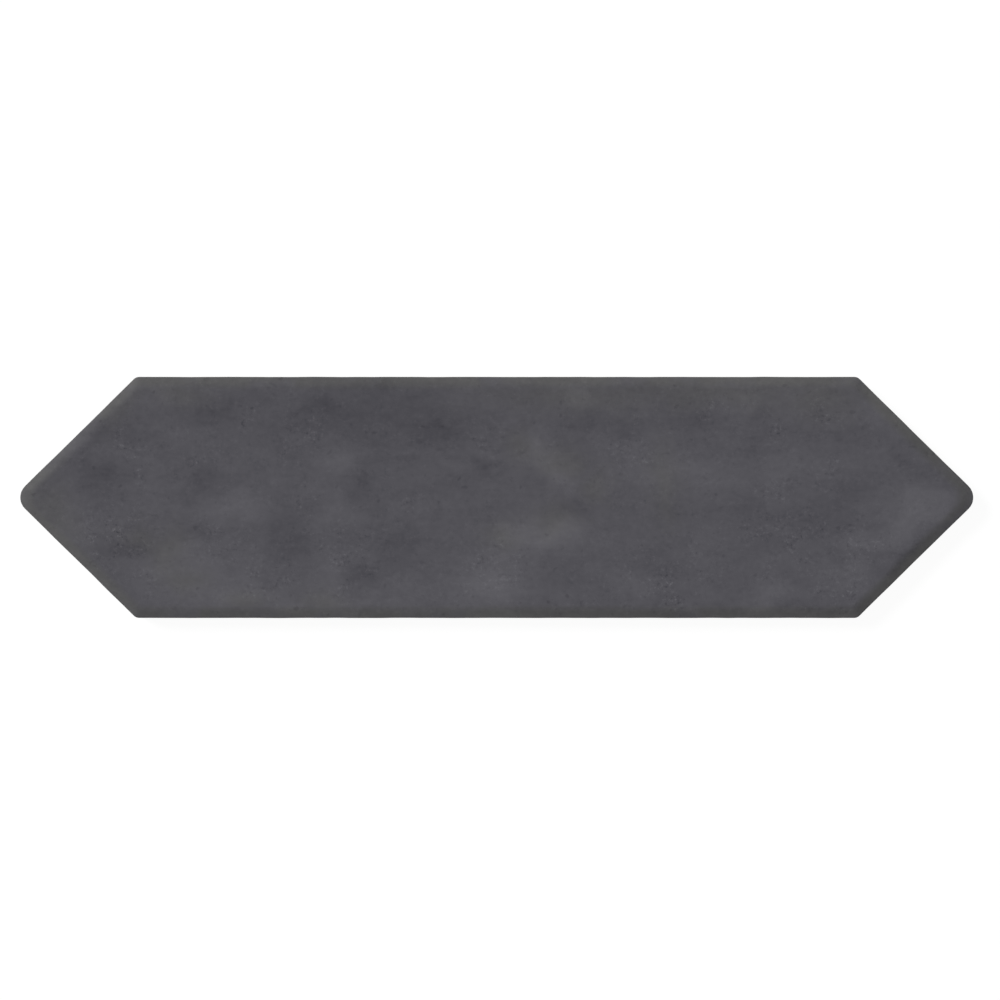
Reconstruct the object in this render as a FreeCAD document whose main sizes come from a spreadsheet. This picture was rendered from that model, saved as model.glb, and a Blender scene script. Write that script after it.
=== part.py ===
import FreeCAD, Part

import math
import os

import Sketcher
from FreeCAD import Placement, Rotation, Vector

# A picket tile: one dust-pressed and fired ceramic tile, a long hexagon with a point at each end.
# It lies on its back. X runs along the tile, Y across it and +Z out of the glazed face, and the
# origin is the middle of the back. Lengths are in millimetres and angles in degrees.

NODE = "picket_tile"

# The driving sizes. Each becomes a cell of the sheet, under its own name.
SIZES = {
    # The plan outline, at the widest level of the tile
    "tile_length": 300.5,  # over the two points, if they came to a sharp corner
    "tile_width": 75.0,  # between the two long edges
    "point_angle": 44.5,  # between a slanted edge and the long axis
    "tip_radius": 5.0,  # rounding of the two points, in plan
    "corner_radius": 2.4,  # rounding of the four blunt corners, in plan
    # The section, from the back to the face
    "thickness": 8.0,
    "roll_width": 4.0,  # how far the rounded edge of the face reaches inwards
    "roll_drop": 1.4,  # how far that edge falls below the face
    "skirt_height": 2.4,  # the drafted lower part of each side
    "skirt_inset": 0.5,  # how far the back stands in from the sides
    "arris_radius": 0.4,  # rounding where the skirt meets the back
    # The keyed back: a shallow recess crossed by ribs that run along the tile
    "border_width": 6.0,  # flat land round the back
    "key_depth": 0.8,
    "key_draft": 30.0,  # slope of the recess walls and the rib flanks, from upright
    "rib_width": 2.6,  # at the top of a rib, level with the border
    "channel_radius": 1.2,  # rounding of the channels' corners, in plan
    "tip_channel_radius": 0.4,  # the same, where a channel ends on the rounding of a tip
    "root_radius": 0.3,  # rounding of the channels' floors into their walls
}
RIB_COUNT = 7
# The roll of the edge is a quarter of an ellipse, lofted through this many contours after the first
ROLL_STEPS = 6
# Two heights closer than this are the same
TOUCHING = 1e-6
# Two faces that meet at less than this angle run on smoothly
LEAST_CORNER = 1


def make_sheet(doc):
    """Puts each driving size in a cell of its own, with its name as the alias."""
    sheet = doc.addObject("Spreadsheet::Sheet", "sizes")
    sheet.set("A1", "size")
    sheet.set("B1", "value")
    for row, (name, value) in enumerate(SIZES.items(), start=2):
        sheet.set(f"A{row}", name)
        sheet.set(f"B{row}", str(value))
        sheet.setAlias(f"B{row}", name)
    doc.recompute()
    return sheet


def origin_feature(body, role):
    """One of the body's own origin planes or axes."""
    return next(f for f in body.Origin.OriginFeatures if f.Role == role)


def new_sketch(body, name, plane="XY_Plane", height=None):
    """An empty sketch on an origin plane of the body, raised by the expression height."""
    sketch = body.newObject("Sketcher::SketchObject", name)
    sketch.AttachmentSupport = [(origin_feature(body, plane), "")]
    sketch.MapMode = "FlatFace"
    if height:
        sketch.setExpression("AttachmentOffset.Base.z", height)
    return sketch


def outline_centres(inset):
    """Where the corner arcs of an outline, set in by inset, have their centres.

    The centre of a corner's arc lies on that corner's bisector, at its radius from both edges.
    Returns the X of a tip's centre and the X and Y of a blunt corner's centre.
    """
    slope = math.radians(SIZES["point_angle"])
    tip_reach = (inset + SIZES["tip_radius"]) / math.sin(slope)
    corner_reach = inset + SIZES["corner_radius"]
    point_length = SIZES["tile_width"] / 2 / math.tan(slope)
    tip_x = SIZES["tile_length"] / 2 - tip_reach
    corner_x = SIZES["tile_length"] / 2 - point_length - corner_reach * math.tan(slope / 2)
    corner_y = SIZES["tile_width"] / 2 - corner_reach
    return tip_x, corner_x, corner_y


def arc(centre, radius, start, end):
    """A sketch arc from the angle start to the angle end, anticlockwise, in degrees."""
    circle = Part.Circle(centre, Vector(0, 0, 1), radius)
    return Part.ArcOfCircle(circle, math.radians(start), math.radians(end))


def outline_sketch(body, name, inset="0 mm", inset_now=0.0, height=None):
    """The tile's outline, set in by the expression inset, whose value now is inset_now.

    Six arcs and the six edges tangent to them. Every outline of the tile has the same corner
    radii, so a contour that is set in is the same shape with shorter edges, and the surfaces
    between two contours meet smoothly at the corners.
    """
    sketch = new_sketch(body, name, height=height)
    slope = SIZES["point_angle"]
    tip_x, corner_x, corner_y = outline_centres(inset_now)
    tip = SIZES["tip_radius"]
    corner = SIZES["corner_radius"]
    # Anticlockwise from the right-hand tip
    corners = [
        arc(Vector(tip_x, 0), tip, slope - 90, 90 - slope),
        arc(Vector(corner_x, corner_y), corner, 90 - slope, 90),
        arc(Vector(-corner_x, corner_y), corner, 90, 90 + slope),
        arc(Vector(-tip_x, 0), tip, 90 + slope, 270 - slope),
        arc(Vector(-corner_x, -corner_y), corner, 270 - slope, 270),
        arc(Vector(corner_x, -corner_y), corner, 270, 270 + slope),
    ]
    for corner_arc in corners:
        sketch.addGeometry(corner_arc, False)
    for here, after in zip(corners, corners[1:] + corners[:1]):
        sketch.addGeometry(Part.LineSegment(here.EndPoint, after.StartPoint), False)

    start_point, end_point, centre_point = 1, 2, 3
    origin, x_axis = (-1, 1), -1
    right_tip, right_top, left_top, left_tip, left_bottom, right_bottom = range(6)
    for here in range(6):
        edge = 6 + here
        after = (here + 1) % 6
        sketch.addConstraint(
            Sketcher.Constraint("Tangent", here, end_point, edge, start_point)
        )
        sketch.addConstraint(
            Sketcher.Constraint("Tangent", edge, end_point, after, start_point)
        )
    sketch.addConstraint(Sketcher.Constraint("Equal", right_tip, left_tip))
    for other in (left_top, left_bottom, right_bottom):
        sketch.addConstraint(Sketcher.Constraint("Equal", right_top, other))
    sketch.addConstraint(
        Sketcher.Constraint("PointOnObject", right_tip, centre_point, x_axis)
    )
    for first, second in (
        (right_tip, left_tip),
        (right_bottom, left_top),
        (right_top, left_bottom),
    ):
        sketch.addConstraint(
            Sketcher.Constraint("Symmetric", first, centre_point, second, centre_point, *origin)
        )
    sketch.addConstraint(
        Sketcher.Constraint("Symmetric", right_top, centre_point, right_bottom, centre_point, x_axis)
    )

    half_length = "sizes.tile_length / 2"
    half_width = "sizes.tile_width / 2"
    to_corner = f"({inset} + sizes.corner_radius * 1 mm)"
    slope_now = "(sizes.point_angle * 1 deg)"
    dimensions = [
        ("tip_round", ("Radius", right_tip, tip), "sizes.tip_radius * 1 mm"),
        ("corner_round", ("Radius", right_top, corner), "sizes.corner_radius * 1 mm"),
        (
            "tip_centre_x",
            ("DistanceX", *origin, right_tip, centre_point, tip_x),
            f"{half_length} * 1 mm - ({inset} + sizes.tip_radius * 1 mm) / sin({slope_now})",
        ),
        (
            "corner_centre_x",
            ("DistanceX", *origin, right_top, centre_point, corner_x),
            f"({half_length} - {half_width} / tan({slope_now})) * 1 mm"
            f" - {to_corner} * tan({slope_now} / 2)",
        ),
        (
            "corner_centre_y",
            ("DistanceY", *origin, right_top, centre_point, corner_y),
            f"{half_width} * 1 mm - {to_corner}",
        ),
    ]
    for label, constraint, expression in dimensions:
        index = sketch.addConstraint(Sketcher.Constraint(*constraint))
        sketch.renameConstraint(index, label)
        sketch.setExpression(f"Constraints.{label}", expression)
    return sketch


def pad(body, name, profile, length, draft=None, downwards=False):
    """A pad of the expression length. The expression draft is negative where the pad narrows."""
    feature = body.newObject("PartDesign::Pad", name)
    feature.Profile = profile
    feature.Reversed = downwards
    feature.setExpression("Length", length)
    if draft:
        feature.setExpression("TaperAngle", draft)
    body.Document.recompute()
    return feature


def side_land(body):
    """The upright band of the sides, the widest part of the tile."""
    outline = outline_sketch(body, "land_outline", height="sizes.skirt_height * 1 mm")
    height = "(sizes.thickness - sizes.roll_drop - sizes.skirt_height) * 1 mm"
    return pad(body, "side_land", outline, height)


def back_skirt(body):
    """The lower part of the sides, drawn in towards the back as the die leaves it."""
    outline = outline_sketch(body, "skirt_outline", height="sizes.skirt_height * 1 mm")
    draft = "-atan(sizes.skirt_inset / sizes.skirt_height)"
    return pad(body, "back_skirt", outline, "sizes.skirt_height * 1 mm", draft, downwards=True)


def face_roll(body):
    """The rounded edge of the face, a quarter ellipse from the side land in to the flat face."""
    contours = []
    for step in range(ROLL_STEPS + 1):
        turn = 90 * step / ROLL_STEPS
        inset = f"sizes.roll_width * 1 mm * (1 - cos({turn} deg))"
        inset_now = SIZES["roll_width"] * (1 - math.cos(math.radians(turn)))
        height = f"(sizes.thickness - sizes.roll_drop * (1 - sin({turn} deg))) * 1 mm"
        contours.append(
            outline_sketch(body, f"roll_{step}", inset=inset, inset_now=inset_now, height=height)
        )
    return loft(body, "face_roll", contours)


def loft(body, name, contours):
    """A loft through the contours, in order."""
    feature = body.newObject("PartDesign::AdditiveLoft", name)
    feature.Profile = contours[0]
    feature.Sections = contours[1:]
    body.Document.recompute()
    return feature


def round_edges(body, name, base, radius, wanted):
    """Rounds the edges of the feature base for which wanted(edge, the faces beside it) is true."""
    shape = base.Shape
    names = []
    for index, edge in enumerate(shape.Edges, start=1):
        if wanted(edge, shape.ancestorsOfType(edge, Part.Face)):
            names.append(f"Edge{index}")
    feature = body.newObject("PartDesign::Fillet", name)
    feature.Base = (base, names)
    feature.setExpression("Radius", radius)
    body.Document.recompute()
    return feature


def lies_at(edge, height):
    """Whether the whole edge lies at that height."""
    return abs(edge.BoundBox.ZMin - height) < TOUCHING and abs(edge.BoundBox.ZMax - height) < TOUCHING


def is_channel_corner(edge, faces, surface):
    """Whether two faces of the recess, one of them on such a surface, meet in a corner here."""
    if edge.BoundBox.ZLength < SIZES["key_depth"] - TOUCHING or len(faces) != 2:
        return False
    if {type(face.Surface) for face in faces} != {Part.Plane, surface}:
        return False
    middle = edge.valueAt((edge.FirstParameter + edge.LastParameter) / 2)
    first, second = (face.normalAt(*face.Surface.parameter(middle)) for face in faces)
    return first.getAngle(second) > math.radians(LEAST_CORNER)


def rib_section(body):
    """The section of the first rib, at the edge of the row: narrow at the bed, wide at its root."""
    sketch = new_sketch(body, "rib_section", plane="YZ_Plane")
    depth = SIZES["key_depth"]
    half_top = SIZES["rib_width"] / 2
    half_root = half_top + depth * math.tan(math.radians(SIZES["key_draft"]))
    middle = -rib_pitch_now() * (RIB_COUNT - 1) / 2
    points = [
        Vector(middle - half_top, 0),
        Vector(middle + half_top, 0),
        Vector(middle + half_root, depth),
        Vector(middle - half_root, depth),
    ]
    for here, after in zip(points, points[1:] + points[:1]):
        sketch.addGeometry(Part.LineSegment(here, after), False)
    start_point, end_point = 1, 2
    origin, x_axis = (-1, 1), -1
    top, right_flank, root, left_flank = range(4)
    for here, after in ((0, 1), (1, 2), (2, 3), (3, 0)):
        sketch.addConstraint(
            Sketcher.Constraint("Coincident", here, end_point, after, start_point)
        )
    sketch.addConstraint(Sketcher.Constraint("PointOnObject", top, start_point, x_axis))
    sketch.addConstraint(Sketcher.Constraint("Horizontal", top))
    sketch.addConstraint(Sketcher.Constraint("Horizontal", root))
    sketch.addConstraint(Sketcher.Constraint("Equal", right_flank, left_flank))
    flank_run = "sizes.key_depth * tan(sizes.key_draft * 1 deg)"
    dimensions = [
        (
            "top_width",
            ("DistanceX", top, start_point, top, end_point, 2 * half_top),
            "sizes.rib_width * 1 mm",
        ),
        (
            "root_width",
            ("DistanceX", root, end_point, root, start_point, 2 * half_root),
            f"(sizes.rib_width + 2 * {flank_run}) * 1 mm",
        ),
        ("rise", ("DistanceY", top, end_point, root, start_point, depth), "sizes.key_depth * 1 mm"),
        (
            "place",
            ("DistanceX", top, start_point, *origin, -(middle - half_top)),
            f"{rib_pitch()} * {(RIB_COUNT - 1) / 2} + sizes.rib_width / 2 * 1 mm",
        ),
    ]
    for label, constraint, expression in dimensions:
        index = sketch.addConstraint(Sketcher.Constraint(*constraint))
        sketch.renameConstraint(index, label)
        sketch.setExpression(f"Constraints.{label}", expression)
    return sketch


def field_inset():
    """How far the mouth of the recess stands in from the tile's outline, as an expression."""
    return "(sizes.skirt_inset + sizes.border_width) * 1 mm"


def rib_pitch():
    """The ribs' spacing, as an expression: the channels beside and between them are one width."""
    field = f"(sizes.tile_width * 1 mm - 2 * {field_inset()} + sizes.rib_width * 1 mm)"
    return f"{field} / {RIB_COUNT + 1}"


def rib_pitch_now():
    """The ribs' spacing in millimetres."""
    field = SIZES["tile_width"] - 2 * (SIZES["skirt_inset"] + SIZES["border_width"])
    return (field + SIZES["rib_width"]) / (RIB_COUNT + 1)


def key_punch(doc):
    """The press punch that leaves the keyed back: a shallow plate with a slot for each rib."""
    punch = doc.addObject("PartDesign::Body", "key_punch")
    mouth = outline_sketch(
        punch,
        "key_mouth",
        inset=field_inset(),
        inset_now=SIZES["skirt_inset"] + SIZES["border_width"],
    )
    pad(punch, "key_plate", mouth, "sizes.key_depth * 1 mm", "-sizes.key_draft * 1 deg")
    slot = punch.newObject("PartDesign::Pocket", "rib_slot")
    slot.Profile = rib_section(punch)
    slot.Type = "ThroughAll"
    slot.Midplane = True
    doc.recompute()
    slots = punch.newObject("PartDesign::LinearPattern", "rib_slots")
    slots.Originals = [slot]
    slots.Direction = (origin_feature(punch, "Y_Axis"), [""])
    slots.setExpression("Length", f"{rib_pitch()} * {RIB_COUNT - 1}")
    slots.Occurrences = RIB_COUNT
    punch.Tip = slots
    doc.recompute()
    ends = round_edges(
        punch,
        "channel_ends",
        slots,
        "sizes.channel_radius * 1 mm",
        lambda edge, faces: is_channel_corner(edge, faces, Part.Plane),
    )
    tip_ends = round_edges(
        punch,
        "tip_channel_ends",
        ends,
        "sizes.tip_channel_radius * 1 mm",
        lambda edge, faces: is_channel_corner(edge, faces, Part.Cone),
    )
    round_edges(
        punch,
        "channel_roots",
        tip_ends,
        "sizes.root_radius * 1 mm",
        lambda edge, faces: lies_at(edge, SIZES["key_depth"]),
    )
    return punch


def press_back(body, punch):
    """Takes the punch out of the back of the tile."""
    feature = body.newObject("PartDesign::Boolean", "keyed_back")
    feature.setObjects([punch])
    feature.Type = "Cut"
    body.Tip = feature
    body.Document.recompute()
    return feature


def check(doc, tile):
    """Stops the script if anything failed to compute or the tile isn't one sound solid."""
    for item in doc.Objects:
        if "Invalid" in item.State or "Error" in item.State:
            raise RuntimeError(f"{item.Name} did not compute: {item.State}")
    shape = tile.Shape
    if shape.isNull() or not shape.isValid() or len(shape.Solids) != 1:
        raise RuntimeError(f"{tile.Label} is not one valid solid")


def main():
    doc = FreeCAD.newDocument(NODE)
    make_sheet(doc)
    tile = doc.addObject("PartDesign::Body", NODE)
    tile.Label = NODE
    side_land(tile)
    back_skirt(tile)
    roll = face_roll(tile)
    round_edges(
        tile, "back_arris", roll, "sizes.arris_radius * 1 mm", lambda edge, faces: lies_at(edge, 0)
    )
    punch = key_punch(doc)
    press_back(tile, punch)
    tile.Placement = Placement(Vector(0, 0, 0), Rotation())
    doc.recompute()
    check(doc, tile)
    print(NODE, "volume", round(tile.Shape.Volume, 1), "faces", len(tile.Shape.Faces))
    os.makedirs("parts", exist_ok=True)
    tile.Shape.exportStep(f"parts/{NODE}.step")


main()
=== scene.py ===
import math

import bpy
import numpy as np
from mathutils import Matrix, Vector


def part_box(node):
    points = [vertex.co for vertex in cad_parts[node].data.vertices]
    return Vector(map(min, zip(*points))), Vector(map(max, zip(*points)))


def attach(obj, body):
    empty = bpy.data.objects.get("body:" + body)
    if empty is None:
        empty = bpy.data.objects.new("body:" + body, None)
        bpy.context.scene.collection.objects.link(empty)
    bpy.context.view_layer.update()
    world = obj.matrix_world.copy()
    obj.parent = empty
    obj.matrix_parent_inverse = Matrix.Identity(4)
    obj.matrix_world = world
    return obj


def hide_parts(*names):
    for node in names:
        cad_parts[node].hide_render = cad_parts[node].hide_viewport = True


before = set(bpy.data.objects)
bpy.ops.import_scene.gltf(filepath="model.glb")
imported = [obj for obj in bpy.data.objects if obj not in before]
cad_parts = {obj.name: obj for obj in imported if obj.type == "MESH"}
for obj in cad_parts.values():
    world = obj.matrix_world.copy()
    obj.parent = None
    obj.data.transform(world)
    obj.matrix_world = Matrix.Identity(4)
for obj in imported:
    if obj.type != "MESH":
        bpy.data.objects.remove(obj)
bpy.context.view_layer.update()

# The picket tile: a long six-sided wall tile with a point at each end, in one fired piece.
# It is stoneware granulate struck between two steel dies, which leave keying ribs on its back and
# draft on its lower sides, and is then sprayed with a dark matte glaze that rolls over its edge.
tile_node = "picket_tile"
MM = 0.001

# Its outline, in millimetres as every size of this section is. The overall sizes are the node's own.
half_length, half_width, thickness = (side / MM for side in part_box(tile_node)[1])
slope = math.radians(44.5)  # of a slanted edge to the long axis
edge_turn = math.pi / 2 - slope  # from the long axis to the normal of a slanted edge
tip_radius = 5.0
blunt_radius = 2.4
sharp_tip = half_length - tip_radius + tip_radius / math.sin(slope)  # where the slanted edges cross


def corner_centres(inset):
    """Where the corner arcs of the outline have their centres, when it is set in by inset.

    A centre lies on its corner's bisector, as far from both edges as the inset and the arc's radius
    together. Gives the X of a tip's centre, and the X and Y of a blunt corner's.
    """
    tip_x = sharp_tip - (inset + tip_radius) / math.sin(slope)
    blunt_x = sharp_tip - half_width / math.tan(slope) - (inset + blunt_radius) * math.tan(slope / 2)
    blunt_y = half_width - inset - blunt_radius
    return tip_x, blunt_x, blunt_y


# The keyed back
mouth_inset = 6.5  # from the outline to the channels
key_depth = 0.8
rib_width = 2.6
channel_count = 8
channel_rounding = 1.2  # of a channel's corners
wall_width = 0.62  # of a channel's wall, seen from below
rib_pitch = (2 * (half_width - mouth_inset) + rib_width) / channel_count
mouth_tip_x, _, mouth_blunt_y = corner_centres(mouth_inset)

# The mesh is one panel for the back, one for the face, and belts of corners round the sides between
# them. A panel's rows run along the tile. Upwards from the middle they step over half a rib, a wall, a
# channel, a wall and half a rib, and so on, and end with those of the blunt corner. They are rounded,
# so that a row on which two steps meet is counted once.
half_rib = rib_width / 2
steps = [
    np.linspace(0, half_rib, 3),
    np.linspace(half_rib, half_rib + wall_width, 5),
    np.linspace(half_rib + wall_width, rib_pitch - half_rib - wall_width, 6),
    np.linspace(rib_pitch - half_rib - wall_width, rib_pitch - half_rib, 5),
    np.linspace(rib_pitch - half_rib, rib_pitch, 3),
]
period = np.concatenate(steps)
blunt_rows = mouth_blunt_y + blunt_radius * np.sin(np.linspace(edge_turn, math.pi / 2, 7))
rib_rows = np.concatenate([period + number * rib_pitch for number in range(channel_count // 2)])
least_gap = 0.05  # between these rows and those of the blunt corner
rib_rows = np.unique(np.round(rib_rows[rib_rows < blunt_rows[0] - least_gap], 4))
upper_rows = np.concatenate([rib_rows, blunt_rows])
rows = np.concatenate([-upper_rows[:0:-1], upper_rows])

# Its columns divide each row alike, most closely at the slanted ends: 0 is the middle and 1 the end
spans = [
    np.linspace(0, 0.91, 85),
    np.linspace(0.91, 0.97, 9),
    np.linspace(0.97, 0.99, 6),
    np.linspace(0.99, 1, 8),
]
right_columns = np.unique(np.round(np.concatenate(spans), 6))
columns = np.concatenate([-right_columns[:0:-1], right_columns])


def up_an_end(heights):
    """Where rows at these heights meet the right-hand end of the channelled field.

    Up from its tip an end is the tip's arc, a straight edge and the blunt corner's arc. Gives, for
    each row, the share of the way from the tip's centre to the blunt corner's, and the normal's angle.
    The share rises evenly with the height up the straight edge. On an arc the angle is the one whose
    sine is the height above the arc's centre over its radius.
    """
    up = np.abs(heights)
    straight_start = tip_radius * math.sin(edge_turn)
    straight_end = mouth_blunt_y + blunt_radius * math.sin(edge_turn)
    share = np.clip((up - straight_start) / (straight_end - straight_start), 0, 1)
    on_tip = np.arcsin(np.clip(up / tip_radius, 0, math.sin(edge_turn)))
    on_blunt = np.arcsin(np.clip((up - mouth_blunt_y) / blunt_radius, math.sin(edge_turn), 1))
    return share, np.where(share > 0, on_blunt, on_tip)


# The corners of a belt go anticlockwise: up the right-hand end, along the top edge, down the
# left-hand end and back along the bottom edge. Each belongs to an arc, whose centre is a mix of those
# of the tip and the blunt corner, and has the angle of its normal.
share, angle = up_an_end(rows)
side = np.sign(rows)
along = columns[1:-1]
none = np.zeros(len(along))
of_tip = np.concatenate([1 - share, none, share[::-1] - 1, none])
of_blunt_x = np.concatenate([share, along[::-1], -share[::-1], along])
of_blunt_y = np.concatenate([side * share, none + 1, (side * share)[::-1], none - 1])
end_radii = tip_radius + share * (blunt_radius - tip_radius)
radii = np.concatenate([end_radii, none + blunt_radius, end_radii[::-1], none + blunt_radius])
normals = np.concatenate([
    side * angle,
    none + math.pi / 2,
    math.pi - (side * angle)[::-1],
    none - math.pi / 2,
])


def outline_at(inset):
    """X and Y of a belt's corners when the outline is set in by inset: each is the centre of its arc
    plus the arc's radius along its normal."""
    tip_x, blunt_x, blunt_y = corner_centres(inset)
    x = of_tip * tip_x + of_blunt_x * blunt_x + radii * np.cos(normals)
    y = of_blunt_y * blunt_y + radii * np.sin(normals)
    return x, y


def belt(inset, height):
    """A belt's corners as X, Y, height and inset: the outline set in by inset, at that height."""
    x, y = outline_at(inset)
    return np.stack([x, y, height + 0 * x, inset + 0 * x], axis=1)


def from_edge(x, y):
    """How far inside the outline a point lies: the lesser of its distances from the long and the
    slanted edge."""
    from_long = half_width - np.abs(y)
    from_slanted = (sharp_tip - np.abs(x)) * math.sin(slope) - np.abs(y) * math.cos(slope)
    return np.minimum(from_long, from_slanted)


def panel(inset, height_at):
    """A panel's corners as X, Y, height and inset: each row ends on the outline set in by inset, each
    column is a share of the row, and height_at gives the height at X and Y."""
    end_x, end_y = outline_at(inset)
    x = columns[None, :] * end_x[: len(rows), None]
    y = end_y[: len(rows), None] + 0 * x
    return np.stack([x, y, height_at(x, y), from_edge(x, y)], axis=2).reshape(-1, 4)


def ease(value, start, end):
    """0 up to start, 1 from end on, and between them the S of 3 t squared minus 2 t cubed."""
    t = np.clip((value - start) / (end - start), 0, 1)
    return t * t * (3 - 2 * t)


def keyed_back(x, y):
    """Height of the back: nothing on the ribs and the border, key_depth in the channels.

    It is an eased function of the distance from the nearest wall, a rib's or that of the field's end,
    which is the tip's arc or the slanted edge. Where a rib meets the end, that distance is measured
    from an arc about the point that is channel_rounding from both.
    """
    from_rib = np.abs(y - rib_pitch * np.round(y / rib_pitch)) - half_rib
    past_tip = np.abs(x) - mouth_tip_x
    from_arc = tip_radius - np.hypot(past_tip, y)
    from_slanted = (sharp_tip - np.abs(x)) * math.sin(slope) - np.abs(y) * math.cos(slope) - mouth_inset
    from_end = np.where(np.abs(y) < past_tip * math.tan(edge_turn), from_arc, from_slanted)
    rib_lack = np.clip(channel_rounding - from_rib, 0, None)
    end_lack = np.clip(channel_rounding - from_end, 0, None)
    in_corner = (rib_lack > 0) & (end_lack > 0)
    from_corner = channel_rounding - np.hypot(rib_lack, end_lack)
    from_wall = np.where(in_corner, from_corner, np.minimum(from_rib, from_end))
    return key_depth * ease(from_wall, 0, wall_width)


def waves(x, y, longest, shortest, count, seed):
    """A slow unevenness of about -1 to 1: a sum of sines across the tile, each in its own direction
    and phase, their lengths falling from longest to shortest and their heights in step with them."""
    chance = np.random.default_rng(seed)
    turn = chance.uniform(0, math.pi, (count, 1))
    phase = chance.uniform(0, 2 * math.pi, (count, 1))
    length = np.geomspace(longest, shortest, count)[:, None]
    height = 2 * length / length.sum()
    across = np.cos(turn) * np.ravel(x) + np.sin(turn) * np.ravel(y)
    return (height * np.sin(2 * math.pi * across / length + phase)).sum(axis=0).reshape(np.shape(x))


# The glazed face, which is not quite level
face_inset = 8.0  # from the outline to its panel
face_unevenness = 0.12


def glazed_face(x, y, inset):
    """Height of the face: the tile's thickness, less slow waves that fade out towards its edge."""
    hollow = np.clip(1 - waves(x, y, longest=80, shortest=14, count=22, seed=3), 0, None)
    return thickness - face_unevenness * hollow * ease(inset, start=0.5, end=6)


# The roll of the face into the sides: a small rounding, then a bevel that eases into the face. It
# reaches farther in at some places, given by X and Y, how far off it fades, and the extra width.
roll_width = 4.0
roll_unevenness = 0.5
roll_slope = math.radians(22)
roll_straight = 0.45  # the share of the width, from the outside, over which the bevel is straight
edge_rounding = 0.45  # the radius with which the side turns into the bevel
wide_rolls = [
    (128, -18, 8, 1.2),
    (138, -9, 5, 0.8),
    (116, -31, 5, 0.5),
    (-128, 18, 8, 0.5),
    (-20, -37, 30, 0.4),
]
edge_x, edge_y = outline_at(0)
roll_reach = roll_width + roll_unevenness * waves(
    edge_x, edge_y, longest=60, shortest=9, count=14, seed=11
)
for place_x, place_y, fading, extra in wide_rolls:
    away = np.hypot(edge_x - place_x, edge_y - place_y) / fading
    roll_reach += extra * np.exp(-(away**2))


def roll_fall(inset):
    """How far the roll lies below the face: its slope is constant over the straight share of its
    reach, and from there falls evenly to nothing at its inner end."""
    straight = roll_straight * roll_reach
    bevel = (roll_reach + straight) / 2 - inset
    eased = np.clip(roll_reach - inset, 0, None) ** 2 / (2 * (roll_reach - straight))
    return math.tan(roll_slope) * np.where(inset < straight, bevel, eased)


# The sides: a drafted skirt with a small arris below, and the glaze, which ends in an uneven line
skirt_height = 2.4
skirt_inset = 0.5  # of its lower edge from its upper
arris_radius = 0.4
glaze_build = 0.1  # how far the glaze stands out from the bare side
glaze_line = 4.3  # the height of its foot
glaze_line_unevenness = 0.35
side_unevenness = 0.05
glaze_foot = glaze_line + glaze_line_unevenness * waves(
    edge_x, edge_y, longest=30, shortest=3, count=16, seed=12
)
side_waves = waves(edge_x, edge_y, longest=25, shortest=4, count=16, seed=13)
side_hollow = side_unevenness * np.clip(1 - side_waves, 0, None)

# Belts from the channels' mouth round to the face. The back's border and the arris come first.
draft = math.atan(skirt_inset / skirt_height)
skirt_at_arris = skirt_inset * (1 - arris_radius / skirt_height)
arris_centre = glaze_build + skirt_at_arris + arris_radius / math.cos(draft)
belts = [belt(inset, 0) for inset in np.linspace(mouth_inset, arris_centre, 6)[1:-1]]
for turn in np.linspace(math.pi / 2, draft, 6):
    inset = arris_centre - arris_radius * math.cos(turn)
    belts.append(belt(inset, arris_radius * (1 - math.sin(turn))))

# The bare skirt, and the bare part of the upright side, with a belt near each of its edges
above_skirt = 0.1
below_foot = 0.4
for height in np.linspace(arris_radius, skirt_height, 5)[1:-1]:
    belts.append(belt(glaze_build + skirt_inset * (1 - height / skirt_height), height))
for height in (skirt_height + above_skirt, glaze_foot - below_foot, glaze_foot):
    belts.append(belt(glaze_build, height))
bare_belts = len(belts)

# The glaze's swollen foot and its upright side: the share of its build, and the rise above its line
foot_profile = [(0.6, 0.13), (0.9, 0.24), (1, 0.38), (1, 1.0)]
for share_built, rise in foot_profile:
    belts.append(belt(glaze_build * (1 - share_built) + side_hollow * share_built, glaze_foot + rise))

# The rounding, up which the side's unevenness fades out, then the bevel and the edge of the face, at
# these shares of the way
roll_parts = (0.12, 0.24, 0.36, 0.45, 0.54, 0.63, 0.72, 0.81, 0.9, 1)
face_edge_parts = (0.33, 0.67)
rounding_end = edge_rounding * (1 - math.sin(roll_slope))
rounding_fall = roll_fall(rounding_end) + edge_rounding * math.cos(roll_slope)
for turn in np.linspace(0, math.pi / 2 - roll_slope, 6):
    inset = edge_rounding * (1 - math.cos(turn)) + side_hollow * math.cos(turn) ** 4
    fall = rounding_fall - edge_rounding * math.sin(turn)
    belts.append(belt(inset, glazed_face(*outline_at(inset), inset) - fall))
for part in roll_parts:
    inset = rounding_end + (roll_reach - rounding_end) * part
    belts.append(belt(inset, glazed_face(*outline_at(inset), inset) - roll_fall(inset)))
for part in face_edge_parts:
    inset = roll_reach + (face_inset - roll_reach) * part
    belts.append(belt(inset, glazed_face(*outline_at(inset), inset)))

# The mesh: the back's panel, the belts and the face's panel, each joined to the next
back = panel(mouth_inset, keyed_back)
face = panel(face_inset, lambda x, y: glazed_face(x, y, from_edge(x, y)))
corners = np.concatenate([back, *belts, face])
grid = np.arange(len(back)).reshape(len(rows), len(columns))
rim = np.concatenate([grid[:, -1], grid[-1, -2:0:-1], grid[::-1, 0], grid[0, 1:-1]])
belted = len(back) + np.arange(len(belts) * len(rim)).reshape(len(belts), len(rim))
face_start = len(corners) - len(face)
round_the_sides = np.concatenate([rim[None, :], belted, face_start + rim[None, :]])
round_the_sides = np.concatenate([round_the_sides, round_the_sides[:, :1]], axis=1)


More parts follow.
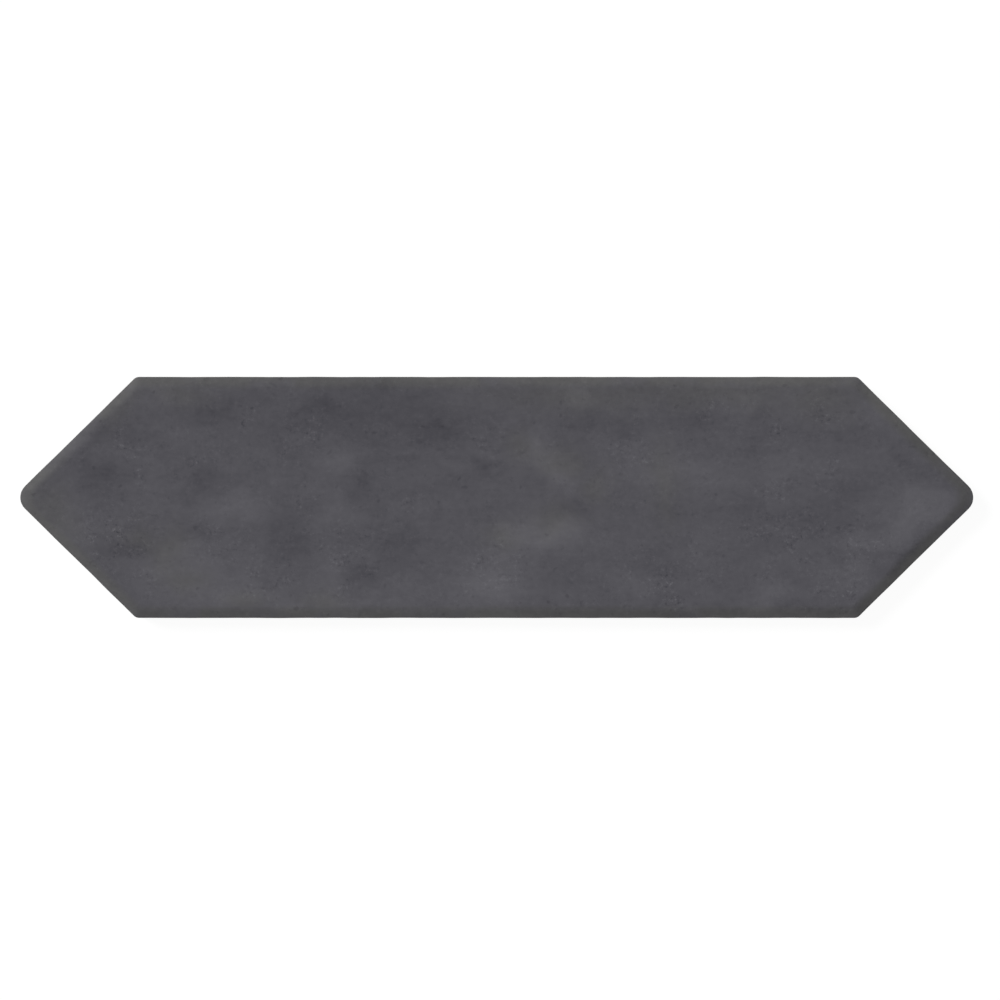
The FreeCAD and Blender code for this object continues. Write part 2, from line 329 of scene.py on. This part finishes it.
def quads(numbers):
    """The four corners of each cell of a grid of corner numbers, anticlockwise."""
    cells = [numbers[:-1, :-1], numbers[:-1, 1:], numbers[1:, 1:], numbers[1:, :-1]]
    return np.stack(cells, axis=2).reshape(-1, 4)


faces = np.concatenate([quads(grid)[:, ::-1], quads(round_the_sides), quads(grid) + face_start])
tile_mesh = bpy.data.meshes.new("fired_tile")
tile_mesh.from_pydata((corners[:, :3] * MM).tolist(), [], faces.tolist())
tile_mesh.polygons.foreach_set("use_smooth", np.ones(len(faces), dtype=bool))
tile = bpy.data.objects.new("fired_tile", tile_mesh)
bpy.context.scene.collection.objects.link(tile)

# The glaze is material 0 and begins at its foot. The bare body is material 1.
bare_faces = (len(rows) - 1) * (len(columns) - 1) + bare_belts * len(rim)
tile_mesh.polygons.foreach_set("material_index", (np.arange(len(faces)) < bare_faces).astype(np.int32))

# Clouds, where the glaze went on thicker or thinner, two of them partly painted light on the lower-right
# roll: X and Y of the middle, half length and half width, turn in degrees, and how much lighter or
# darker it looks in grey levels
clouds = [
    # the left-hand point
    (-131, 17, 14, 2, 45, 2),
    (-132, -16, 14, 3, -45, 3),
    (-118, -16, 6, 3, 0, -7),
    (-105, 34, 9, 4, 0, 3),
    (-123, 6, 10, 5, 0, -7),
    (-125, 21, 6, 3, 45, -7),
    (-111, 21, 9, 6, 0, -3),
    (-112, 12, 8, 3, 10, 3),
    (-130, -6, 8, 6, -45, 4),
    # left of the middle
    (-90, -11, 5, 2, 0, -6),
    (-101, -21, 8, 4, 0, 3),
    (-64, 14, 5, 3, 0, -5),
    (-47, -5, 6, 4, 0, 5),
    (-40, -34, 13, 3, 0, 4),
    (-91, 24, 6, 5, 0, -5),
    (-77, 28, 11, 5, 0, -4),
    (-91, 6, 8, 3, 0, -3),
    (-80, -4, 11, 6, 0, 5),
    (-98, -18, 11, 4, 0, 3),
    (-88, -25, 15, 8, 0, 4),
    (-80, -30, 6, 5, 0, 6),
    (-90, -31, 14, 3, 0, 3),
    (-64, -15, 8, 6, 0, -6),
    (-68, -7, 6, 4, 0, -4),
    (-52, -23, 5, 10, 0, 5),
    (-63, -32, 6, 4, 0, 4),
    (-52, 11, 5, 3, 10, 5),
    (-40, -25, 6, 4, 0, -7),
    (-25, -14, 13, 4, 0, -5),
    (-54, 27, 7, 4, 0, -8),
    (-35, 24, 17, 7, 0, -6),
    (-18, 22, 9, 6, 0, -7),
    (-39, 4, 5, 9, 0, -6),
    (-20, -28, 17, 4, 0, 4),
    (-42, 35, 8, 3, 0, -5),
    (-25, 32, 5, 2, 0, -4),
    # the middle
    (30, 36, 60, 2, 0, 1),
    (-24, 25, 7, 2, 0, 4),
    (26, -5, 4, 4, 0, -5),
    (27, 33, 4, 4, 0, 6),
    (-3, -26, 8, 7, 0, 9),
    (-3, 11, 6, 3, -20, -7),
    (3, -13, 7, 5, 0, 5),
    (16, -11, 10, 4, 5, 10),
    (26, -13, 7, 3, -10, 2),
    (15, 16, 5, 4, -60, 6),
    (18, 6, 6, 4, -60, 9),
    (31, 23, 10, 4, 0, -5),
    # right of the middle
    (60, -36, 13, 3, 0, -5),
    (80, 26, 5, 2, 0, -5),
    (81, 15, 3, 3, 0, -4),
    (84, 5, 5, 5, 0, 4),
    (95, -33, 6, 4, 0, -5),
    (64, -17, 3, 5, 0, 4),
    (95, 33, 10, 4, 0, 3),
    (62, 8, 12, 5, 0, 6),
    (41, 12, 8, 6, 0, 4),
    (60, 24, 11, 5, 0, -4),
    (74, 31, 6, 8, 0, 4),
    (43, -27, 7, 4, 0, 4),
    (52, -23, 5, 2, 0, -4),
    (88, -30, 8, 4, 0, 8),
    (95, 9, 10, 4, 0, 3),
    # the right-hand point
    (125, -25, 16, 2, 45, 2),
    (118, -17, 5, 2, 20, -5),
    (127, 13, 7, 3, -45, -4),
    (137, -2, 3, 3, 0, 6),
    (102, 20, 7, 3, 0, -4),
    (110, 5, 5, 4, 0, -2),
    (121, 26, 9, 4, -45, 7),
    (100, -8, 12, 8, 0, -4),
    (111, -14, 6, 4, 0, 7),
    (109, -25, 7, 6, 0, 4),
    # Partly a painted highlight, of a slight rise just inside the lower-right roll that the mesh lacks,
    # and partly lighter glaze
    (128, -5, 13, 4, 45, 10),
    # Partly painted shade: darker along the lower-right roll, away from the lamp, in place of part of the
    # roll's fall, and partly glaze pooled thicker on the roll
    (127, -18, 9, 2, 45, -5),
    (138, 5, 4, 5, 45, -4),
]

# Scuffed patches of its skin: X and Y of the middle, half length and half width, and the turn
scuffs = [
    (-119, -15, 8, 10, 0),
    (-121, -12, 5, 6, 0),
    (-108, -27, 4, 4, 0),
    (-117, 19, 4, 4, 0),
    (-116, 12, 6, 2, 0),
    (-108, 9, 2, 5, 0),
    (-109, -6, 4, 2, 0),
    (-90, 12, 4, 2, 0),
    (-79, 25, 2, 5, 0),
    (-64, 21, 2, 8, 0),
    (-56, 21, 4, 4, 0),
    (-60, -2, 5, 6, 0),
    (-85, -13, 6, 5, 0),
    (-48, -18, 10, 9, 0),
    (-76, -23, 4, 3, 0),
    (-65, -25, 4, 4, 0),
    (-78, -31, 6, 2, 0),
    (-30, -3, 3, 3, 0),
    (-7, -25, 4, 4, 0),
    (-6, 19, 5, 3, 0),
    (1, -19, 7, 6, 0),
    (42, 12, 8, 7, 0),
    (42, 25, 2, 5, 0),
    (43, -27, 9, 7, 0),
    (56, -28, 4, 6, 0),
    (64, -19, 5, 8, 0),
    (69, 27, 5, 4, 0),
    (86, 1, 5, 4, 0),
    (101, 8, 6, 4, 0),
    (81, -10, 4, 4, 0),
    (94, -13, 9, 7, 0),
    (113, -14, 8, 6, 0),
    (105, -29, 8, 6, 0),
    (80, -26, 4, 4, 0),
    (88, 19, 5, 4, 0),
    (102, 24, 4, 4, 0),
]

# Warm patches, where it went on so thin that its violet cast is weak: the same five numbers
warm_patches = [
    (-138, -5, 12, 6, -45),
    (-118, 28, 8, 4, 45),
    (-97, 33, 9, 4, 0),
    (-112, -12, 5, 4, 0),
    (-101, -16, 6, 5, 0),
    (-97, -26, 5, 4, 0),
    (-78, -33, 6, 4, 0),
    (-53, -33, 6, 4, 0),
    (22, 32, 25, 5, 0),
    (8, 17, 5, 4, 0),
    (19, 11, 6, 4, 0),
    (32, 4, 5, 4, 0),
    (19, -7, 7, 4, 0),
    (2, -12, 5, 4, 0),
    (52, 4, 4, 11, 0),
    (69, 33, 22, 5, 0),
    (102, 31, 8, 6, 0),
]
wander_along = 2.5  # how far the edges of all these patches stray, along the tile and across it
wander_across = 1.8
patch_fall = 0.9  # how fast a patch fades: it has e to the power of minus this at its half length


def bells(x, y, patches):
    """A bell curve for each patch at each point, from 0 to 1, with a row for each patch.

    It is e to the power of minus patch_fall times the square of the distance from the patch's middle,
    counted in its own half length and half width. The points are first shifted by slow waves, so that
    the edges wander.
    """
    middle_x, middle_y, half_long, half_wide, turn = np.array(patches, dtype=float).T[:5, :, None]
    turn = np.radians(turn)
    right = x + wander_along * waves(x, y, longest=30, shortest=6, count=10, seed=21) - middle_x
    up = y + wander_across * waves(x, y, longest=24, shortest=5, count=10, seed=22) - middle_y
    along = (right * np.cos(turn) + up * np.sin(turn)) / half_long
    across = (up * np.cos(turn) - right * np.sin(turn)) / half_wide
    return np.exp(-patch_fall * (along**2 + across**2))


# What the materials read at each corner. The height over the glaze's foot counts on the sides only.
least_scuff = 0.3  # outside the scuffed patches
scuff_gain = 0.7  # what the middle of a scuffed patch adds
most_overlap = 1.6  # of scuffed patches that lie over each other
feet = np.concatenate([np.full(len(back), glaze_line), np.tile(glaze_foot, len(belts)), 0 * face[:, 0]])
scuffed_by = bells(corners[:, 0], corners[:, 1], scuffs).sum(axis=0).clip(0, most_overlap)
readings = {
    "cloud": np.array(clouds)[:, 5] @ bells(corners[:, 0], corners[:, 1], clouds),
    "scuff": least_scuff + scuff_gain * scuffed_by,
    "warm": bells(corners[:, 0], corners[:, 1], warm_patches).sum(axis=0).clip(0, 1),
    "edge_inset": corners[:, 3],
    "over_foot": corners[:, 2] - feet,
}
for name, values in readings.items():
    tile_mesh.attributes.new(name, "FLOAT", "POINT").data.foreach_set("value", values.astype(np.float32))


def srgb(code):
    """A hex colour such as #808080 as linear red, green, blue and alpha.

    Each part is taken as a share of 255. Up to 0.04045 it is divided by 12.92, and above that it is
    raised by 0.055, divided by 1.055 and taken to the power of 2.4.
    """
    parts = [int(code[start:start + 2], 16) / 255 for start in (1, 3, 5)]
    return (*(p / 12.92 if p <= 0.04045 else ((p + 0.055) / 1.055) ** 2.4 for p in parts), 1.0)


def cleared(owner):
    """The node tree of a material or a world, emptied of the nodes that it comes with."""
    owner.use_nodes = True
    owner.node_tree.nodes.clear()
    return owner.node_tree


def add(tree, kind, inputs, **settings):
    """Adds a node with its settings. An input given a socket is linked to it, else it is set."""
    node = tree.nodes.new(kind)
    for name, value in settings.items():
        setattr(node, name, value)
    for name, value in inputs.items():
        if isinstance(value, bpy.types.NodeSocket):
            tree.links.new(value, node.inputs[name])
        else:
            node.inputs[name].default_value = value
    return node.outputs


# Matte glaze: a charcoal stoneware glaze, sprayed on thin and fired without gloss. It gives the eye
# soft clouds and a fine mottle, scuffed patches of light and dark flecks, a few dark specks and no
# sharp reflection, and it thins to a greyer, slightly lighter rim.
glaze_dark = srgb("#333238")
glaze_light = srgb("#5e5d62")
level_reach = 16.5  # the level at which it is all the light grey, and minus this all the dark one
violet_lost = srgb("#fefff3")  # what turns the glaze's violet cast to a plain grey
body_showing = srgb("#6a6159")  # through the thin foot
glaze = bpy.data.materials.new("charcoal_matte_glaze")
tree = cleared(glaze)
place = add(tree, "ShaderNodeTexCoord", {})["Object"]
cloud = add(tree, "ShaderNodeAttribute", {}, attribute_name="cloud")["Fac"]
scuff = add(tree, "ShaderNodeAttribute", {}, attribute_name="scuff")["Fac"]
inset = add(tree, "ShaderNodeAttribute", {}, attribute_name="edge_inset")["Fac"]
over_foot = add(tree, "ShaderNodeAttribute", {}, attribute_name="over_foot")["Fac"]
warm = add(tree, "ShaderNodeAttribute", {}, attribute_name="warm")["Fac"]

# Its tone in grey levels is the clouds plus these, each a noise: the size of its lumps across the
# tile in millimetres, how many times longer they are along it, its detail, the part of the noise
# that counts, and the levels that this part spans. Specks and marks that are finer on the real
# glaze are drawn at the least size that shows.
tones = {
    "drift of the spray": (8, 1.8, 2, 0.25, 0.75, -2.8, 2.8),
    "bands": (2.6, 1.3, 2, 0.25, 0.75, -1.7, 1.7),
    "mottle": (1.9, 1, 2, 0.25, 0.75, -1.6, 1.6),
    "streaks": (1.5, 3, 1, 0.6, 0.8, 0, -2),
    "specks": (2.1, 1, 0, 0.76, 0.86, 0, -5),
}
level = cloud
lumps = {}
for name, (size, stretch, detail, start, end, low, high) in tones.items():
    laid = add(tree, "ShaderNodeMapping", {"Vector": place, "Scale": (1 / stretch, 1, 1)})["Vector"]
    lumps[name] = add(
        tree, "ShaderNodeTexNoise", {"Vector": laid, "Scale": 1 / (size * MM), "Detail": detail}
    )["Fac"]
    tone = add(
        tree,
        "ShaderNodeMapRange",
        {"Value": lumps[name], "From Min": start, "From Max": end, "To Min": low, "To Max": high},
    )["Result"]
    level = add(tree, "ShaderNodeMath", {0: level, 1: tone}, operation="ADD")["Value"]

# Flecks: a fine noise shows light where it rises above one bound and dark where it falls below
# another. They are there all over, strongest in the scuffed patches, and a coarser noise thins them
# out in places. They are drawn as coarse as they need to show.
fleck_size = 1.3
fleck_gap_size = 4.5
fleck_bounds = {"light": (0.55, 0.7, 12), "dark": (0.45, 0.3, -9.5)}  # start, end and grey levels
gaps = add(
    tree, "ShaderNodeTexNoise", {"Vector": place, "Scale": 1 / (fleck_gap_size * MM), "Detail": 2}
)["Fac"]
unbroken = add(
    tree,
    "ShaderNodeMapRange",
    {"Value": gaps, "From Min": 0.35, "From Max": 0.65, "To Min": 0.1, "To Max": 1.5},
)["Result"]
scuffed = add(tree, "ShaderNodeMath", {0: scuff, 1: unbroken}, operation="MULTIPLY")["Value"]
flecks = add(
    tree,
    "ShaderNodeTexNoise",
    {"Vector": place, "Scale": 1 / (fleck_size * MM), "Detail": 3, "Roughness": 0.7},
)["Fac"]
for start, end, strongest in fleck_bounds.values():
    fleck = add(
        tree,
        "ShaderNodeMapRange",
        {"Value": flecks, "From Min": start, "From Max": end, "To Min": 0, "To Max": strongest},
    )["Result"]
    level = add(
        tree, "ShaderNodeMath", {0: fleck, 1: scuffed, 2: level}, operation="MULTIPLY_ADD"
    )["Value"]

# Its colour: the tone, lifted a little in the outer three millimetres, as a mix of the two greys
lift_start = 3  # how far in from the edge it begins, and where it is full
lift_full = 1
most_lift = 2.2
rim_lift = add(
    tree,
    "ShaderNodeMapRange",
    {"Value": inset, "From Min": lift_start, "From Max": lift_full, "To Min": 0, "To Max": most_lift},
)["Result"]
level = add(tree, "ShaderNodeMath", {0: level, 1: rim_lift}, operation="ADD")["Value"]
share_light = add(
    tree, "ShaderNodeMapRange", {"Value": level, "From Min": -level_reach, "From Max": level_reach}
)["Result"]
clouded = add(
    tree, "ShaderNodeMix", {"Factor": share_light, "A": glaze_dark, "B": glaze_light}, data_type="RGBA"
)["Result"]

# Its violet cast is lost at the rim, more in some places than in others, and partly lost in the warm
# patches. The thin foot lets the body show through.
rim_patch_size = 14
rim_start = 4.5  # how far in from the edge the cast begins to go, and where it has gone
rim_full = 2
warm_share = 0.6  # of the cast, lost in the middle of a warm patch
thin_height = 0.45  # how far up from the foot the body shows
most_thin = 0.5  # of the body's colour, at the foot itself
rim_lumps = add(tree, "ShaderNodeTexNoise", {"Vector": place, "Scale": 1 / (rim_patch_size * MM)})["Fac"]
rim_patches = add(
    tree,
    "ShaderNodeMapRange",
    {"Value": rim_lumps, "From Min": 0.35, "From Max": 0.5, "To Min": 0.4, "To Max": 1},
)["Result"]
rim_share = add(
    tree, "ShaderNodeMapRange", {"Value": inset, "From Min": rim_start, "From Max": rim_full}
)["Result"]
rim_share = add(tree, "ShaderNodeMath", {0: rim_share, 1: rim_patches}, operation="MULTIPLY")["Value"]
warmth = add(tree, "ShaderNodeMath", {0: warm, 1: warm_share}, operation="MULTIPLY")["Value"]
warmth = add(tree, "ShaderNodeMath", {0: warmth, 1: rim_share}, operation="MAXIMUM")["Value"]
greyed = add(
    tree,
    "ShaderNodeMix",
    {"Factor": warmth, "A": clouded, "B": violet_lost},
    data_type="RGBA",
    blend_type="MULTIPLY",
)["Result"]
thin = add(
    tree,
    "ShaderNodeMapRange",
    {"Value": over_foot, "From Min": thin_height, "From Max": 0, "To Min": 0, "To Max": most_thin},
)["Result"]
footed = add(
    tree, "ShaderNodeMix", {"Factor": thin, "A": greyed, "B": body_showing}, data_type="RGBA"
)["Result"]

# Its skin: low lumps, a fine tooth, which is drawn as coarse as it needs to show, and a pit at each
# speck. Where the glaze looks lighter it is a little less dry.
lump_size = 1.5
tooth_size = 0.4
skin_depth = 0.02
skin_level = 12
roughest = 0.74  # where the tone lies skin_level below the middle
smoothest = 0.6  # where it lies skin_level above
skin_lumps = add(
    tree, "ShaderNodeTexNoise", {"Vector": place, "Scale": 1 / (lump_size * MM), "Detail": 2}
)["Fac"]
tooth = add(
    tree, "ShaderNodeTexNoise", {"Vector": place, "Scale": 1 / (tooth_size * MM), "Detail": 1}
)["Fac"]
pits = add(
    tree,
    "ShaderNodeMapRange",
    {"Value": lumps["specks"], "From Min": 0.78, "From Max": 0.86, "To Min": 0, "To Max": -2},
)["Result"]
relief = add(tree, "ShaderNodeMath", {0: tooth, 1: skin_lumps}, operation="ADD")["Value"]
relief = add(tree, "ShaderNodeMath", {0: relief, 1: pits}, operation="ADD")["Value"]
skin = add(
    tree, "ShaderNodeBump", {"Height": relief, "Distance": skin_depth * MM, "Strength": 1}
)["Normal"]
dryness = add(
    tree,
    "ShaderNodeMapRange",
    {
        "Value": level,
        "From Min": -skin_level,
        "From Max": skin_level,
        "To Min": roughest,
        "To Max": smoothest,
    },
)["Result"]
glazed = add(
    tree,
    "ShaderNodeBsdfPrincipled",
    {
        "Base Color": footed,
        "Roughness": dryness,
        "IOR": 1.5,
        "Specular IOR Level": 0.16,
        "Normal": skin,
    },
)["BSDF"]
add(tree, "ShaderNodeOutputMaterial", {"Surface": glazed})

# Fired body: pressed stoneware granulate, fired bare. It gives the eye a dry, granular warm grey
# with pores and iron specks, whitish kiln wash on what stood on the rollers, and glaze dust by the
# foot. Its granules and pores are drawn as coarse as they need to show.
body_dark = srgb("#8f887e")
body_light = srgb("#a39c92")
granule_shade = srgb("#d2cdc6")
tone_patch_size = 9
granule_size = 0.9
body = bpy.data.materials.new("pressed_stoneware_body")
tree = cleared(body)
place = add(tree, "ShaderNodeTexCoord", {})["Object"]
over_foot = add(tree, "ShaderNodeAttribute", {}, attribute_name="over_foot")["Fac"]
patches = add(
    tree, "ShaderNodeTexNoise", {"Vector": place, "Scale": 1 / (tone_patch_size * MM), "Detail": 4}
)["Fac"]
patches = add(tree, "ShaderNodeMapRange", {"Value": patches, "From Min": 0.3, "From Max": 0.7})["Result"]
fired = add(
    tree, "ShaderNodeMix", {"Factor": patches, "A": body_dark, "B": body_light}, data_type="RGBA"
)["Result"]
granules = add(
    tree,
    "ShaderNodeTexNoise",
    {"Vector": place, "Scale": 1 / (granule_size * MM), "Detail": 2, "Roughness": 0.65},
)["Fac"]
grains = add(tree, "ShaderNodeMapRange", {"Value": granules, "From Min": 0.7, "From Max": 0.3})["Result"]
grained = add(
    tree,
    "ShaderNodeMix",
    {"Factor": grains, "A": fired, "B": granule_shade},
    data_type="RGBA",
    blend_type="MULTIPLY",
)["Result"]

# The wash lies on what stands lower than a quarter of a millimetre
kiln_wash = srgb("#cbc7c0")
wash_patch_size = 5
wash_top = 0.25
wash_full = 0.02
height = add(tree, "ShaderNodeSeparateXYZ", {"Vector": place})["Z"]
standing = add(
    tree,
    "ShaderNodeMapRange",
    {"Value": height, "From Min": wash_top * MM, "From Max": wash_full * MM, "To Min": 0, "To Max": 0.55},
)["Result"]
wash = add(
    tree,
    "ShaderNodeTexNoise",
    {"Vector": place, "Scale": 1 / (wash_patch_size * MM), "Detail": 4, "Roughness": 0.7},
)["Fac"]
wash = add(tree, "ShaderNodeMapRange", {"Value": wash, "From Min": 0.38, "From Max": 0.62})["Result"]
wash = add(tree, "ShaderNodeMath", {0: wash, 1: standing}, operation="MULTIPLY")["Value"]
washed = add(
    tree, "ShaderNodeMix", {"Factor": wash, "A": grained, "B": kiln_wash}, data_type="RGBA"
)["Result"]

# Iron specks all over, and glaze dust that fades out two millimetres below the glaze's foot
iron_brown = srgb("#55483c")
glaze_dust = srgb("#4d4a4a")
iron_size = 1.3
dust_size = 0.7
dust_reach = 2
iron = add(
    tree, "ShaderNodeTexNoise", {"Vector": place, "Scale": 1 / (iron_size * MM), "Detail": 0}
)["Fac"]
iron = add(
    tree,
    "ShaderNodeMapRange",
    {"Value": iron, "From Min": 0.76, "From Max": 0.8, "To Min": 0, "To Max": 0.75},
)["Result"]
specked = add(
    tree, "ShaderNodeMix", {"Factor": iron, "A": washed, "B": iron_brown}, data_type="RGBA"
)["Result"]
near_foot = add(
    tree,
    "ShaderNodeMapRange",
    {"Value": over_foot, "From Min": -dust_reach, "From Max": 0, "To Min": 0, "To Max": 0.3},
)["Result"]
dust = add(
    tree, "ShaderNodeTexNoise", {"Vector": place, "Scale": 1 / (dust_size * MM), "Detail": 1}
)["Fac"]
dust = add(tree, "ShaderNodeMath", {0: dust, 1: near_foot}, operation="ADD")["Value"]
dust = add(
    tree,
    "ShaderNodeMapRange",
    {"Value": dust, "From Min": 0.72, "From Max": 0.84, "To Min": 0, "To Max": 0.7},
)["Result"]
dusted = add(
    tree, "ShaderNodeMix", {"Factor": dust, "A": specked, "B": glaze_dust}, data_type="RGBA"
)["Result"]

# Its skin: the granules, and pores between them
pore_size = 0.8
body_depth = 0.05
pores = add(
    tree, "ShaderNodeTexNoise", {"Vector": place, "Scale": 1 / (pore_size * MM), "Detail": 0}
)["Fac"]
pores = add(
    tree,
    "ShaderNodeMapRange",
    {"Value": pores, "From Min": 0.2, "From Max": 0.32, "To Min": -1.5, "To Max": 0},
)["Result"]
relief = add(tree, "ShaderNodeMath", {0: granules, 1: pores}, operation="ADD")["Value"]
skin = add(
    tree, "ShaderNodeBump", {"Height": relief, "Distance": body_depth * MM, "Strength": 1}
)["Normal"]
bare_body = add(
    tree,
    "ShaderNodeBsdfPrincipled",
    {
        "Base Color": dusted,
        "Roughness": 0.88,
        "IOR": 1.5,
        "Specular IOR Level": 0.3,
        "Normal": skin,
    },
)["BSDF"]
add(tree, "ShaderNodeOutputMaterial", {"Surface": bare_body})

tile_mesh.materials.append(glaze)
tile_mesh.materials.append(body)
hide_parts(tile_node)
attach(tile, "root")

# The floor: a plain white sheet just under the tile. It glows a little to the camera, so that it stays
# white, and keeps a faint shadow. From below it is clear, and it doesn't hide the back from the lamp.
floor_reach = 3.0  # in metres, as is the next
floor_level = -0.00003
floor_white = srgb("#f2f2f2")
glow_strength = 1.04
glow_part = 0.9  # of what the camera sees of the floor
floor_mesh = bpy.data.meshes.new("floor")
floor_corners = [(-1, -1), (1, -1), (1, 1), (-1, 1)]
floor_mesh.from_pydata(
    [(x * floor_reach, y * floor_reach, floor_level) for x, y in floor_corners], [], [(0, 1, 2, 3)]
)
floor = bpy.data.objects.new("floor", floor_mesh)
bpy.context.scene.collection.objects.link(floor)
floor.visible_shadow = False
floor.visible_diffuse = False


def shown_to_camera(tree):
    """1 for a ray that shows the background to the camera, straight, in a gloss or through glass, and
    0 for a ray that lights the object: the greatest of the three kinds' own flags."""
    rays = add(tree, "ShaderNodeLightPath", {})
    mirrored = add(
        tree,
        "ShaderNodeMath",
        {0: rays["Is Glossy Ray"], 1: rays["Is Transmission Ray"]},
        operation="MAXIMUM",
    )["Value"]
    seen = add(tree, "ShaderNodeMath", {0: rays["Is Camera Ray"], 1: mirrored}, operation="MAXIMUM")
    return seen["Value"]


white_sheet = bpy.data.materials.new("white_sheet")
tree = cleared(white_sheet)
glowing = add(
    tree, "ShaderNodeMath", {0: shown_to_camera(tree), 1: glow_part}, operation="MULTIPLY"
)["Value"]
matt = add(tree, "ShaderNodeBsdfDiffuse", {"Color": floor_white})["BSDF"]
glow = add(tree, "ShaderNodeEmission", {"Strength": glow_strength})["Emission"]
from_above = add(tree, "ShaderNodeMixShader", {0: glowing, 1: matt, 2: glow})["Shader"]
clear = add(tree, "ShaderNodeBsdfTransparent", {})["BSDF"]
is_below = add(tree, "ShaderNodeNewGeometry", {})["Backfacing"]
both_sides = add(tree, "ShaderNodeMixShader", {0: is_below, 1: from_above, 2: clear})["Shader"]
add(tree, "ShaderNodeOutputMaterial", {"Surface": both_sides})
floor_mesh.materials.append(white_sheet)

# The light: an even white room, whose lower half stands for what the floor throws back, and one large
# soft lamp from the upper left. Room and lamp together light a level surface with a strength of 1, so
# that a colour renders as it is written.
room_light = 0.38
floor_light = 0.65
horizon = 0.02  # the half height of the change between the two
room = bpy.data.worlds.new("white_room")
bpy.context.scene.world = room
tree = cleared(room)
direction = add(tree, "ShaderNodeTexCoord", {})["Generated"]
upwards = add(tree, "ShaderNodeSeparateXYZ", {"Vector": direction})["Z"]
shed = add(
    tree,
    "ShaderNodeMapRange",
    {
        "Value": upwards,
        "From Min": -horizon,
        "From Max": horizon,
        "To Min": floor_light,
        "To Max": room_light,
    },
)["Result"]
strength = add(tree, "ShaderNodeMath", {0: shed, 1: shown_to_camera(tree)}, operation="MAXIMUM")["Value"]
air = add(tree, "ShaderNodeBackground", {"Color": (1, 1, 1, 1), "Strength": strength})["Background"]
add(tree, "ShaderNodeOutputWorld", {"Surface": air})

# Each lamp: its azimuth and height in degrees, how wide it looks, and the strength with which it
# lights a level surface. The second stands under the floor and shows the back's ribs from below.
lamps = {
    "soft_lamp": (150, 37, 24, 1 - room_light),
    "lamp_below": (114, -58, 20, 1 - floor_light),
}
for name, (azimuth, height, width, level_strength) in lamps.items():
    azimuth, height = math.radians(azimuth), math.radians(height)
    lamp_data = bpy.data.lights.new(name, "SUN")
    lamp_data.angle = math.radians(width)
    lamp_data.energy = level_strength * math.pi / abs(math.sin(height))
    lamp = bpy.data.objects.new(name, lamp_data)
    bpy.context.scene.collection.objects.link(lamp)
    lamp.location = (
        math.cos(height) * math.cos(azimuth),
        math.cos(height) * math.sin(azimuth),
        math.sin(height),
    )
    lamp.rotation_euler = lamp.location.to_track_quat("Z", "Y").to_euler()

# The camera: it looks straight down, from where the tile's edge has the photograph's size and place
photo_size = 1000  # in pixels, as are the next two
photo_pixels_per_mm = 3.218
photo_centre = (496.73, 497.44)
widest_height = 6.4  # at which the tile is widest, in millimetres
lens = 100  # in millimetres, as is the next
sensor_width = 36
camera_data = bpy.data.cameras.new("camera")
camera_data.lens = lens
camera_data.sensor_width = sensor_width
camera = bpy.data.objects.new("camera", camera_data)
bpy.context.scene.collection.objects.link(camera)
distance = photo_size / photo_pixels_per_mm * lens / sensor_width
camera.location = (
    (photo_size / 2 - photo_centre[0]) / photo_pixels_per_mm * MM,
    (photo_centre[1] - photo_size / 2) / photo_pixels_per_mm * MM,
    (widest_height + distance) * MM,
)
bpy.context.scene.camera = camera
bpy.context.scene.view_settings.view_transform = "Standard"
